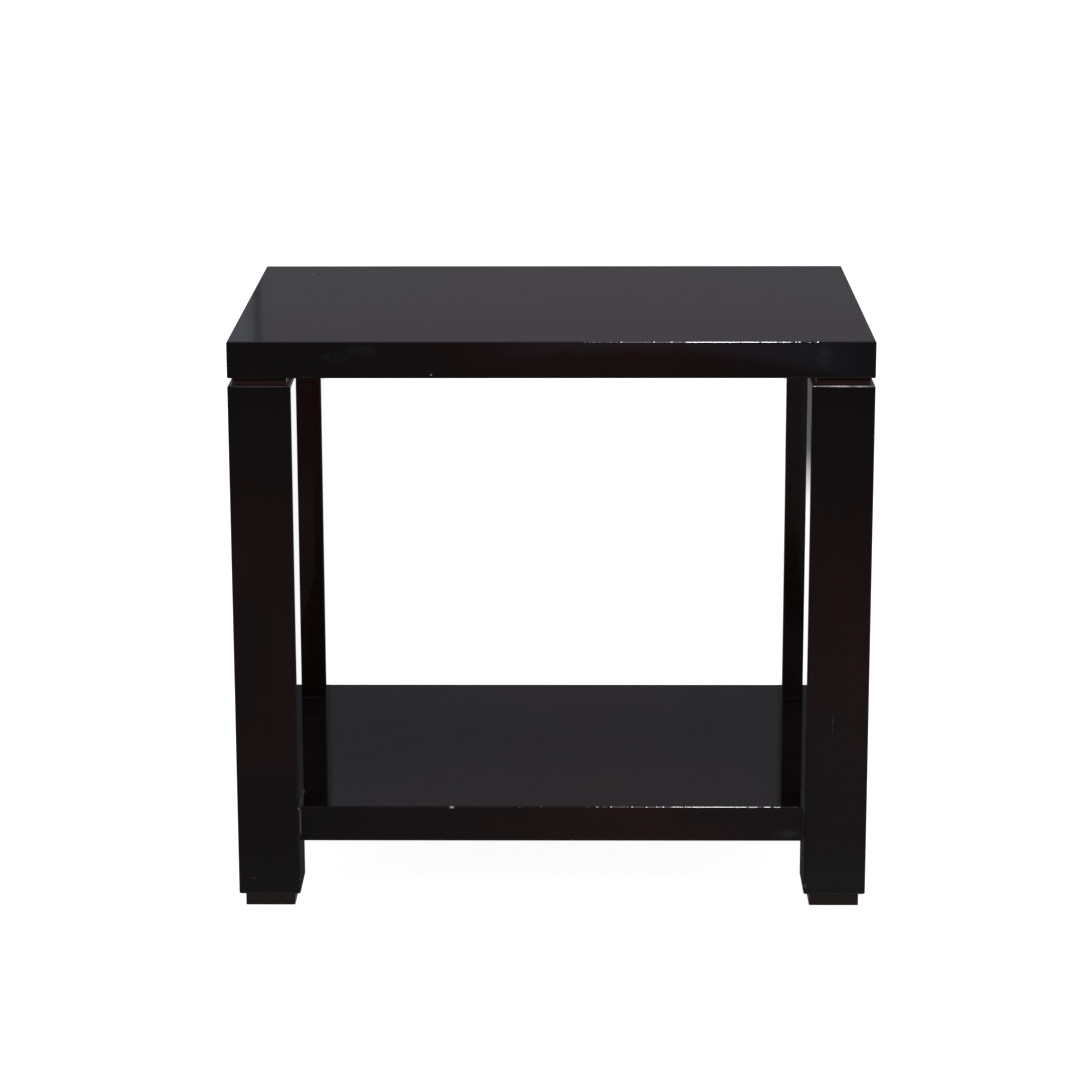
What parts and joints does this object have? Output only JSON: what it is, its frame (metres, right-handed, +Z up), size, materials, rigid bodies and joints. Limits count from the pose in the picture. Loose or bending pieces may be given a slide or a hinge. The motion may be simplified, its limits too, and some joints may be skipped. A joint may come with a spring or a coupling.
{
  "type": "end table",
  "caption": "Low square-legged end table with a thick top, a shadow gap under it, and a lower shelf notched round the legs, in dark gloss lacquer.",
  "frame": {"origin": "on the floor, under the middle of the table", "axes": "+X to the right of someone facing the front, +Y from the front to the back, +Z up"},
  "size_m": [0.61, 0.44, 0.56],
  "materials": {
    "board_lacquer": "high-gloss espresso lacquer on wood",
    "leg_lacquer": "high-gloss espresso lacquer on wood",
    "neck_stain": "dark red-brown stain, satin",
    "foot_stain": "dark brown stain, satin",
    "dowel_wood": "bare beech",
    "screw_steel": "zinc plated"
  },
  "bodies": {
    "root": {"top_board": "board_lacquer", "shelf_board": "board_lacquer", "top_lipping_front": "board_lacquer", "top_lipping_back": "board_lacquer", "top_lipping_left": "board_lacquer", "top_lipping_right": "board_lacquer", "shelf_lipping_front": "board_lacquer", "shelf_lipping_back": "board_lacquer", "shelf_lipping_left": "board_lacquer", "shelf_lipping_right": "board_lacquer", "leg_front_left": "leg_lacquer", "leg_front_right": "leg_lacquer", "leg_back_left": "leg_lacquer", "leg_back_right": "leg_lacquer", "neck_block_front_left": "neck_stain", "neck_block_front_right": "neck_stain", "neck_block_back_left": "neck_stain", "neck_block_back_right": "neck_stain", "foot_block_front_left": "foot_stain", "foot_block_front_right": "foot_stain", "foot_block_back_left": "foot_stain", "foot_block_back_right": "foot_stain", "top_dowels": "dowel_wood", "shelf_dowels": "dowel_wood", "foot_screws": "screw_steel"}
  },
  "joints": []
}
